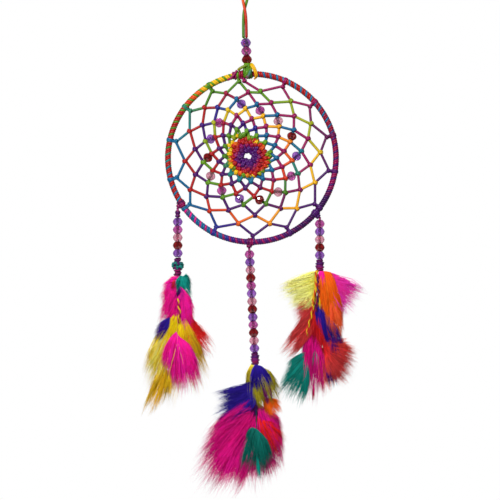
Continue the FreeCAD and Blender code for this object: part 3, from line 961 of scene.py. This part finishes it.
def top_knot():
    greens = "0 green, 0.3 leaf, 0.6 green, 1 leaf"
    strands = [
        knot_turns(3.6, -0.0002, 0.0020, (0.0040, 0.0044), 0.0, greens),
        knot_turns(2.6, 0.0010, 0.0021, (0.0049, 0.0054), 0.0012, "0 leaf, 0.5 green, 1 lime", 0.0012),
        knot_turns(1.6, 0.0018, 0.0019, (0.0034, 0.0030), 0.0066, "0 leaf, 1 green", -0.0010),
        knot_turns(2.0, -0.0022, 0.0020, (0.0038, 0.0040), 0.0020, "0 green, 1 leaf", 0.0004),
        knot_turns(2.0, 0.0000, 0.0022, (0.0030, 0.0034), 0.0048, "0 leaf, 1 green", 0.0008),
    ]
    collar = points_mm(
        (-0.6, -1.4, -78.6), (1.6, -3.0, -78.8), (4.2, -2.2, -78.6), (5.0, 0.2, -78.8),
        (3.2, 2.4, -79.2), (0.4, 2.2, -79.6), (-0.8, -0.6, -80.6), (1.4, -3.4, -81.0), (4.2, -3.0, -81.2),
    )
    strands.append(coloured_strand(collar, plain("leaf", len(collar)), 3))
    left = points_mm(
        (2.4, -4.4, -79.6), (0.2, -4.6, -80.2), (-2.8, -4.4, -81.8),
        (-5.4, -4.4, -83.2), (-6.8, -3.2, -84.6),
    )
    strands.append(coloured_strand(left, dye_along(np.linspace(0, 1, 5), "0 leaf, 1 olive"), 3))
    flecks = points_mm((5.6, -5.6, -84.0), (5.2, -6.2, -87.2), (3.4, -5.8, -90.6), (1.4, -4.4, -92.2))
    dyes = dye_along(np.linspace(0, 1, 4), "0 green, 0.5 teal, 1 crimson")
    strands.append(coloured_strand(flecks, dyes, 3))
    for shift in (0.0, 1.0):
        over = points_mm(
            (4.6, 1.4, -79.0), (5.4, -2.2, -79.2), (6.8, -4.8, -80.8), (8.8, -5.6, -84.4),
            (10.4, -5.4, -88.4), (10.8, -3.6, -92.0), (9.4, -1.2, -93.2),
        )
        over = over + points_mm(1.3, 0.2, 1.1) * shift
        dyes = dye_along(np.linspace(0, 1, len(over)), "0 lime, 0.3 yellow, 1 gold")
        points, thick, tinted = coloured_strand(over, dyes, 3)
        strands.append((points, thick * np.linspace(0.85, 0.6, len(thick)), tinted))
    piece = strands_piece("top_knot_cord", strands, 0.00145, 8, KNOT_SATIN)
    fitted(piece, "top_knot", "knot_cord", "top_knot")


top_knot()


# ---- tail hitches and necks

TAIL_ANGLES = {"left": 212.2, "middle": 268.1, "right": 318.5}


def left_cord_wrap():
    """Turns of the same cord round the top of the left string, down to its first bead."""
    string = STRINGS["left"]
    across = np.cross(string["down"], FRONT)
    share = np.linspace(0, 1, 120)
    strands = []
    for start, colour in ((0, "plum"), (0.5, "purple")):
        spin = math.tau * (2.8 * share + start)
        swell = 0.0013 + 0.0004 * np.sin(share * 8)
        points = string["pivot"] + np.outer(0.0030 + share * 0.0054, string["down"])
        points = points + ring_offsets(spin, across, swell)
        strands.append((points, ended(len(share)), plain(colour, len(share))))
    fitted(strands_piece("left_cord_wrap", strands, 0.00115, 8, KNOT_SATIN), "left_string", "tail_cord")


def tail_hitches():
    for side, angle in TAIL_ANGLES.items():
        colour = "purple" if side == "right" else "plum"
        bright = "purple" if side == "right" else "magenta"
        turns = [
            turns_round_hoop(angle - 1.7, 2.5, 0.00085, colour),
            turns_round_hoop(angle + 0.2, 2.0, 0.00085, bright),
        ]
        wire = on_hoop(np.float64(angle), HOOP_RADIUS)
        pivot = STRINGS[side]["pivot"]
        reach = unit(pivot - wire)
        root = wire + reach * 0.0030
        across = np.cross(reach, FRONT)
        for k, side_step in enumerate((-0.0009, 0.0009)):
            knot = []
            for i in range(15):
                spin = math.tau * 1.5 * i / 14 + k * math.pi
                sideways = across * (math.cos(spin) * 0.0017 + side_step * 0.3)
                knot.append(root + reach * (0.0001 + 0.0018 * i / 14) + sideways
                            + FRONT * math.sin(spin) * 0.0019)
            turns.append(coloured_strand(knot, plain(bright if k else colour, 15), 2))
        piece = strands_piece(side + "_hitch_cord", turns, 0.00095, 8, KNOT_SATIN)
        fitted(piece, "hoop", "tail_cord", side + "_hitch")
        ball = []
        for k in range(4):
            spin = np.linspace(0, math.tau, 19)
            turn = math.pi * k / 4
            width = np.cos(spin)
            ring = np.stack((width * math.cos(turn), width * math.sin(turn), np.sin(spin) * 0.9), axis=1)
            tint = dye("plum") if k % 2 else dye("rose") * 0.6
            ball.append((pivot + ring * 0.0008, ended(19, 2), np.tile(tint, (19, 1))))
        piece = strands_piece(side + "_neck_knot", ball, 0.00062, 6, KNOT_SATIN)
        fitted(piece, side + "_neck", "tail_cord", side + "_neck")


tail_hitches()
left_cord_wrap()


# ---- bindings

BINDING_HEIGHT = 0.013
LEFT_BINDING_HEIGHT = 0.020
TUFT_BARBS = 60  # short teal barbs caught in the left binding
# Twisted cords that run on down over the quills: from, to (mm), and their dyes.
QUILL_TWISTS = {
    "left": (
        ((-66.0, -6.5, -312), (-65.0, -8.5, -337), ("yellow", "crimson")),
    ),
    "right": (
        ((72.0, -6.5, -284), (68.0, -8.0, -318), ("yellow", "gold", "scarlet")),
        ((71.5, -7.0, -300), (61.5, -7.0, -350), ("yellow", "scarlet")),
        ((73.5, -7.5, -288), (71.5, -7.6, -326), ("crimson", "deep_purple")),
    ),
}


def binding(side):
    """Thread wound down over the end of the cord and the quills."""
    string = STRINGS[side]
    rng = np.random.default_rng({"left": 5, "middle": 6, "right": 7}[side])
    down = string["down"]
    height = LEFT_BINDING_HEIGHT if side == "left" else BINDING_HEIGHT
    top = string["pivot"] + down * (string["cord"] + 0.0001)
    across = np.cross(down, FRONT)
    strands = []
    for layer in range(2):
        turns = 9 if layer == 0 else 6
        count = turns * 14 + 1
        share = np.linspace(0.02, 0.98, count)
        bulge = 0.0022 + 0.0010 * np.sin(share * math.pi) + 0.0006 * np.sin(share * 23 + layer)
        radius = (bulge + 0.0005 * layer) * np.clip(np.minimum(share, 1 - share) * 14, 0.1, 1)
        spin = math.tau * turns * share * (1 if layer == 0 else -1) + layer
        sway = 0.0002 * np.sin(share * 61)
        points = top + np.outer(share * height + sway, down)
        points = points + ring_offsets(spin, across, radius)
        tone = dye_along(share + 0.15 * layer, "0 plum, 0.5 purple, 0.8 magenta, 1 plum")
        tone = tone * (0.8 + 0.6 * np.sin(share * 40 + layer)[:, None] ** 2)
        strands.append((points, ended(count) * (1.0 if layer == 0 else 0.8), tone))
    if side == "left":
        for _ in range(TUFT_BARBS):
            spin = rng.uniform(0, math.tau)
            share = rng.uniform(0.28, 0.52)
            root = top + down * (share * height)
            out = across * math.cos(spin) + FRONT * math.sin(spin)
            line = [root + out * 0.0028,
                    root + out * rng.uniform(0.0040, 0.0050) + down * rng.uniform(-0.0012, 0.001),
                    root + out * rng.uniform(0.0048, 0.0064) + down * rng.uniform(-0.001, 0.003)]
            strands.append(coloured_strand(line, np.tile(dye("teal") * rng.uniform(0.6, 1.3), (3, 1)), 2))
    for start, end, colours in QUILL_TWISTS.get(side, ()):
        start, end = np.array(start) * MM, np.array(end) * MM
        lay = unit(end - start)
        sideways = unit(np.cross(lay, FRONT))
        share = np.linspace(0, 1, 80)
        for number, colour in enumerate(colours):
            spin = math.tau * (np.linalg.norm(end - start) / 0.009 * share + number / len(colours))
            sway = 0.0006 * np.sin(share * 9) + np.cos(spin) * 0.0008
            points = start + np.outer(share, end - start) + np.outer(sway, sideways)
            points = points + np.outer(np.sin(spin) * 0.0008, FRONT)
            strands.append((points, ended(80) * np.linspace(1.0, 0.6, 80), plain(colour, 80)))
    piece = strands_piece(side + "_binding_thread", strands, 0.00085, 7, THREAD)
    fitted(piece, side + "_feathers", "tail_cord", side + "_binding")
    return top + down * height


# ---- plumes

# Each row is one fan of a plume's barbs, and a row ends with a bar. Its side and plume;
# where the barbs start; where they end (mm, X and Z in turn); how many, how fluffy, and the
# fan's place front to back (mm, forward is negative); their dyes from root to tip, where
# one name is for all three.
FANS = """
left magenta; -67 -292 -68 -300 -68 -314; -75 -292 -81 -299 -84 -310 -85 -326 -86 -338 -81 -345 -73 -341
  -66 -332; 1300 0.45 -3.6; hot_pink hot_pink fuchsia |
left magenta; -67 -296 -69 -316; -75 -310 -78 -326 -75 -337 -70 -336 -67 -326; 500 0.3 -4.2; fuchsia
  fuchsia hot_pink |
left magenta; -64 -291 -68 -293; -76 -289 -75 -294 -71 -298; 60 0.5 -3; hot_pink |
left teal; -65 -290 -61 -290; -70 -299 -68 -306 -63 -306 -59 -311 -54 -310 -53 -300 -55 -292 -58 -287; 800
  0.35 -5.2; teal |
left teal; -59 -304 -57 -306; -56 -317 -53 -320 -54 -314; 90 0.4 -3; teal teal indigo |
left indigo; -75 -331 -75 -337; -87 -340 -91 -350 -91 -361 -85 -356 -78 -348; 420 0.5 -6.3; indigo indigo
  purple |
left indigo; -65 -300 -63 -302; -70 -316 -67 -322 -63 -318 -60 -310; 240 0.3 -4.4; purple deep_purple
  deep_purple |
left violet; -65 -300 -61 -306; -54 -314 -51 -324 -51 -338 -53 -353 -58 -354 -63 -338 -68 -326 -68 -314;
  1200 0.35 -5.4; purple hot_pink hot_pink |
left red; -59 -324 -57 -336 -56 -348; -50 -334 -47 -348 -37 -352 -31 -359 -34 -368 -41 -371 -49 -367 -55
  -360; 800 0.8 -3.8; flame |
left red; -72 -294 -70 -293; -74 -302 -72 -306 -69 -302; 60 0.2 -4.6; scarlet crimson flame |
left yellow; -67 -324 -66 -327 -64 -325; -73 -339 -77 -352 -92 -364 -99 -377 -98 -389 -95 -400 -91 -407
  -82 -411 -72 -414 -67 -407 -63 -389; 2000 0.6 -3.6; yellow yellow mustard |
left yellow; -66 -325 -64 -330; -61 -396 -48 -402 -39 -395 -38 -382 -41 -368 -48 -354 -55 -341 -58 -334;
  1400 0.5 -3.8; yellow mustard mustard |
left yellow; -82 -380 -75 -386; -95 -400 -97 -412 -101 -419 -101 -428 -94 -426 -87 -421 -80 -415 -73 -412;
  480 0.35 -4.2; mustard |
left yellow; -75 -344 -73 -350; -95 -364 -99 -376 -98 -390 -89 -398 -83 -394; 700 0.8 -4.2; straw straw
  lemon |
left pink; -68 -345 -66 -352; -79 -362 -83 -376 -77 -386 -73 -394 -69 -402 -64 -407 -56 -405 -49 -402 -45
  -395 -46 -382 -50 -369 -57 -356; 2400 0.25 -9.8; hot_pink |
left pink; -67 -359 -65 -364; -75 -380 -73 -392 -67 -398 -63 -392 -63 -376; 260 0.1 -10.6; fuchsia crimson
  fuchsia |
middle blue; 10 -378 15 -379; 5 -392 8 -402 13 -406 19 -405 26 -402 28 -396 23 -387; 900 0.3 -6.6; indigo
  |
middle blue; 17 -394 21 -396; 19 -412 23 -419 28 -416 27 -406; 200 0.3 -5.9; indigo plum plum |
middle olive; 6 -378 11 -380 17 -382; 2 -394 2 -406 5 -413 9 -419 14 -424 21 -423 28 -420 34 -416 36 -407
  32 -396 25 -385; 1400 0.4 -4.8; lemon olive olive |
middle olive; 9 -398 13 -400; 8 -416 14 -423 19 -419 19 -408; 260 0.2 -5.4; olive |
middle indigo; 11 -396 11 -406 11 -416; -1 -397 -15 -407 -29 -406 -23 -414 -29 -423 -29 -432 -22 -437 -13
  -435 -3 -427 5 -424; 2200 0.6 -5; indigo |
middle indigo; 9 -412 11 -414; 5 -426 6 -436 11 -434 13 -424; 220 0.2 -5.2; deep_purple |
middle magenta; 11 -410 12 -424 11 -438; -11 -422 -23 -435 -35 -444 -39 -460 -44 -472 -46 -484 -40 -493
  -32 -501 -23 -497 -15 -499 -8 -506 -5 -495 2 -484 6 -466; 4600 0.8 -3.4; fuchsia |
middle magenta; -5 -439 -3 -454; -21 -454 -33 -476 -33 -492 -21 -498 -11 -498 -5 -484; 1300 0.7 -4.4;
  fuchsia hot_pink fuchsia |
middle rose; 7 -412 15 -418 19 -426; -5 -492 5 -499 13 -499 21 -493 29 -487 37 -477 38 -462 36 -448 37
  -438 32 -429; 3200 0.4 -1.6; fuchsia fuchsia rose |
middle rose; 11 -464 17 -466; -7 -484 -2 -494 11 -496 23 -490 35 -480; 500 0.35 -2.6; rose |
middle orange; 19 -410 23 -412; 21 -428 29 -437 36 -426 36 -414; 500 0.4 -3.4; scarlet orange orange |
middle orange; 12 -428 17 -436; 15 -454 23 -462 29 -467 35 -471 37 -460 40 -450 35 -442 29 -436; 800 0.4
  -3.8; flame |
middle orange; 10 -434 12 -436; 6 -442 8 -448 14 -447; 110 0.2 -3.9; crimson crimson flame |
middle teal; 7 -440 12 -442 16 -446; 1 -448 2 -466 -2 -476 -5 -484 2 -484 8 -482 13 -484 19 -486 23 -477
  27 -470 21 -460 18 -452; 1700 0.45 -9.6; deep_teal |
middle teal; 11 -469 13 -470; 12 -488 16 -495 17 -492; 60 0.05 -10.2; teal |
right yellow; 71 -285 71 -296 71 -312; 61 -294 47 -295 37 -298 36 -306 43 -314 46 -320 57 -323 66 -324;
  1500 0.85 -4.4; lemon straw straw |
right yellow; 73 -302 74 -304; 73 -320 75 -327 77 -322; 110 0.1 -6; yellow yellow olive |
right red; 73 -310 72 -326 69 -342; 53 -314 49 -326 52 -340 43 -352 37 -362 45 -372 54 -362 61 -354 65
  -344; 2200 0.75 -3.8; flame brick brick |
right red; 69 -312 74 -326; 64 -342 67 -359 75 -376 83 -386 91 -378 87 -359 79 -340; 1200 0.3 -4.2; flame
  flame crimson |
right orange; 76 -286 80 -285 85 -286; 73 -304 73 -314 78 -330 83 -346 89 -354 95 -354 98 -339 98 -326 93
  -312 91 -298; 1900 0.1 -6.6; orange |
right orange; 85 -314 87 -318; 85 -348 90 -354 96 -354 98 -340 97 -326; 380 0.08 -7.6; coral |
right pink; 74 -285 78 -285; 71 -298 75 -304 80 -302; 300 0.1 -7.2; hot_pink hot_pink scarlet |
right pink; 83 -286 85 -296 86 -308; 93 -296 106 -299 117 -302 115 -310 108 -316 106 -325 100 -329 92
  -322; 1500 0.85 -4.6; hot_pink candy candy |
right indigo; 72 -314 76 -324; 70 -332 74 -344 82 -358 89 -369 96 -370 99 -359 93 -350 83 -332; 1200 0.3
  -5.6; indigo |
right indigo; 89 -348 91 -352; 85 -370 91 -372 97 -366 99 -358; 220 0.3 -5.7; purple purple plum |
right indigo; 81 -366 83 -370; 82 -398 87 -401 93 -397; 240 0.3 -3.9; indigo indigo purple |
right magenta; 66 -336 69 -348 71 -358; 60 -352 57 -370 57 -388 59 -406 65 -416 72 -414 79 -406 82 -392 78
  -374 74 -358; 2000 0.35 -3; fuchsia fuchsia rose |
right magenta; 73 -356 79 -364; 73 -402 79 -406 86 -401 91 -392; 700 0.4 -2; crimson coral coral |
right magenta; 68 -399 69 -400; 67 -415 69 -416; 30 0.02 -4; fuchsia crimson crimson |
right teal; 62 -366 62 -380; 50 -372 41 -378 40 -387 36 -397 34 -406 41 -411 48 -415 54 -420 60 -410 63
  -396; 1500 0.5 -3.6; teal |
right teal; 70 -362 71 -364; 65 -380 69 -386 74 -380; 160 0.3 -4.2; teal teal rose |
right coral; 77 -356 81 -370; 95 -356 109 -364 110 -376 105 -388 100 -396 92 -395 84 -390; 1900 0.7 -4.6;
  flame brick brick |
right coral; 87 -358 91 -360; 100 -350 107 -358 111 -368; 180 0.7 -4.8; flame scarlet coral |
"""
PLUMES = {"left": {}, "middle": {}, "right": {}}
for row in FANS.split("|")[:-1]:
    (side, colour), roots, tips, (count, fluff, depth), dyes = [field.split() for field in row.split(";")]
    roots, tips = (np.array(line, dtype=float).reshape(-1, 2) for line in (roots, tips))
    shape = (roots, tips, int(count), float(fluff), (dyes * 3)[:3], float(depth))
    PLUMES[side].setdefault(colour, []).append(shape)

PLUME_PAINTED_LIGHT = 1.45  # painted light: plume dyes are raised this much to stand in for light lost among the dense barbs
PLUME_STEPS = 6
PLUME_LOW = np.array(cad_box[0]) + points_mm(-9, -9, -9)
PLUME_HIGH = np.array(cad_box[1]) + points_mm(9, 9, 0)
PLUME_BARB = 0.00023
STEM_START = 1.6  # a quill is this much thicker than a barb
BARBS_PER_LOCK = 22


def along(places, share):
    """Points at even shares along a line of places."""
    places = np.asarray(places, dtype=float)
    steps = np.concatenate(((0.0,), np.cumsum(np.linalg.norm(np.diff(places, axis=0), axis=1))))
    if steps[-1] == 0:
        return np.repeat(places[:1], len(share), axis=0)
    found = [np.interp(share * steps[-1], steps, column) for column in places.T]
    return np.stack(found, axis=1)


def fan(rng, roots, tips, count, fluff, dyes, depth):
    """Barbs from a short root line out to a fan's edge, in locks that draw together."""
    roots = points_mm(*((x, depth, z) for x, z in roots))
    tips = points_mm(*((x, depth, z) for x, z in tips))
    share = (np.arange(count) + rng.uniform(0, 1, count)) / count
    locks = max(3, count // BARBS_PER_LOCK)
    lock = np.clip((share * locks + rng.normal(0, 0.45, count)).astype(int), 0, locks - 1)
    lock_out = rng.normal(0, 1, locks)[lock]
    lock_long = rng.uniform(0.84 - 0.10 * fluff, 1.04, locks)[lock]
    lock_tint = rng.normal(0, 1, locks)[lock]
    start = along(roots, np.clip(share + rng.normal(0, 0.12, count), 0, 1))
    wide = along(tips, np.clip(share + rng.normal(0, 0.02 + 0.02 * fluff, count), 0, 1))
    drawn = along(tips, (lock + 0.5) / locks)
    end = wide + (drawn - wide) * rng.uniform(0.1, 0.85, count)[:, None]
    stray = rng.uniform(0, 1, count) < 0.05 + 0.05 * fluff
    reach = lock_long * (0.40 + 0.72 * rng.uniform(0, 1, count) ** 0.55)
    reach = np.where(stray, rng.uniform(1.0, 1.10 + 0.14 * fluff, count), reach)
    end = start + (end - start) * reach[:, None]
    end = end + rng.normal(0, 1, (count, 3)) * np.array((1, 1.2, 1)) * (0.0002 + 0.0009 * fluff)
    span = np.linalg.norm(end - start, axis=1)
    middle = unit(tips.mean(axis=0) - roots.mean(axis=0))
    across = (end - start) - np.outer((end - start) @ middle, middle)
    bend = start + middle * (span * 0.12)[:, None] + (end - start) * 0.34 + across * 0.42
    bend = bend + rng.normal(0, 1, (count, 3)) * (span * (0.03 + 0.05 * fluff))[:, None]
    bend[:, 1] += lock_out * (0.0004 + 0.0008 * fluff)
    end[:, 1] += lock_out * 0.0011 + 0.0006
    wave = rng.normal(0, 1, (count, 3)) * (span * 0.018 * fluff)[:, None]
    s = np.linspace(0, 1, PLUME_STEPS)
    points = np.empty((count, PLUME_STEPS, 3))
    for i, place in enumerate(s):
        points[:, i] = (start * (1 - place) ** 2 + bend * (2 * place * (1 - place)) + end * place ** 2
                        + wave * math.sin(place * 7.5))
    points = np.clip(points, PLUME_LOW, PLUME_HIGH)
    # Painted light: the plume dyes are brightened beyond their own colour.
    tones = np.array([DYES[name] for name in dyes]) * PLUME_PAINTED_LIGHT
    tone = np.stack([np.interp(s, (0, 0.5, 1), tones[:, k]) for k in range(3)], axis=1)
    light = np.clip(1 + 0.17 * lock_tint + 0.12 * rng.normal(0, 1, count), 0.45, 1.45)
    thick = np.clip((1 - s) ** 0.5, 0, 1)
    thick[0] = 0.5
    slim = np.where(stray, 0.6, 1.0)
    return [(points[i], thick * slim[i], np.minimum(tone * light[i], 0.97)) for i in range(count)]


def plume(side, colour, root, number):
    """All the fans of one plume, each joined to the binding by its quill."""
    rng = np.random.default_rng(100 * number + len(colour))
    strands = []
    for roots, tips, count, fluff, dyes, depth in PLUMES[side][colour]:
        strands.extend(fan(rng, roots, tips, count, fluff, dyes, depth))
        (root_x, root_z), (tip_x, tip_z) = roots.mean(axis=0), tips.mean(axis=0)
        first = np.array((root_x, depth + 1.5, root_z)) * MM
        last = np.array((tip_x, depth + 1.8, tip_z)) * MM
        stem = np.concatenate((np.linspace(root, first, 8), np.linspace(first, last, 8)[1:]))
        thick = np.concatenate((np.full(8, STEM_START), np.linspace(STEM_START, 0.2, 7)))
        thick[0] = thick[-1] = 0
        strands.append((stem, thick, np.tile(dye(dyes[0]) * 0.6, (len(stem), 1))))
    piece = strands_piece(f"{side}_plume_{colour}", strands, PLUME_BARB, 3, PLUME)
    fitted(piece, side + "_feathers", "feather_" + colour, f"{side}_feather_{colour}")


number = 0
for side in ("left", "middle", "right"):
    foot = binding(side)
    for colour in PLUMES[side]:
        number += 1
        plume(side, colour, foot - STRINGS[side]["down"] * 0.002, number)


# ---- floor and light

FLOOR_RADIUS = 0.45
FLOOR_HEIGHT = -0.62
FLOOR_CORNERS = 64
SKY_ON_OBJECT = 0.18  # the sky's share that lights the object; it looks white in view

floor_mesh = bpy.data.meshes.new("floor")
ring = []
for i in range(FLOOR_CORNERS):
    turn = math.tau * i / FLOOR_CORNERS
    ring.append((FLOOR_RADIUS * math.cos(turn), FLOOR_RADIUS * math.sin(turn), FLOOR_HEIGHT))
floor_mesh.from_pydata(ring, [], [tuple(range(FLOOR_CORNERS))])
floor_mesh.materials.append(pale_floor())
placed("floor", floor_mesh)

world = bpy.data.worlds.new("studio")
world.use_nodes = True
sky = world.node_tree
backdrop = sky.nodes["Background"]
backdrop.inputs["Color"].default_value = (1.0, 1.0, 1.0, 1.0)
seen = node(sky, "ShaderNodeLightPath").outputs
clear_rays = calculated(sky, "MAXIMUM", seen["Is Camera Ray"], seen["Is Transmission Ray"])
sky.links.new(ranged(sky, clear_rays, SKY_ON_OBJECT, 1.0), backdrop.inputs["Strength"])
bpy.context.scene.world = world


def soft_light(name, place, size, power):
    light = bpy.data.lights.new(name, "AREA")
    light.shape = "SQUARE"
    light.size = size
    light.energy = power
    lamp = placed(name, light)
    lamp.location = place
    aim = unit(np.array((0.005, 0.0, -0.26)) - np.array(place))
    lamp.rotation_euler = (math.acos(-aim[2]), 0, math.atan2(aim[0], -aim[1]) + math.pi)
    return lamp


soft_light("key_light", (-0.5, -1.2, 0.6), 0.3, 44.0)
soft_light("fill_light", (1.0, -0.9, 0.1), 0.7, 4.0)
back_light = soft_light("back_light", (0.5, 1.2, 0.9), 0.6, 14.0)
back_light.visible_transmission = False
back_light.visible_glossy = False
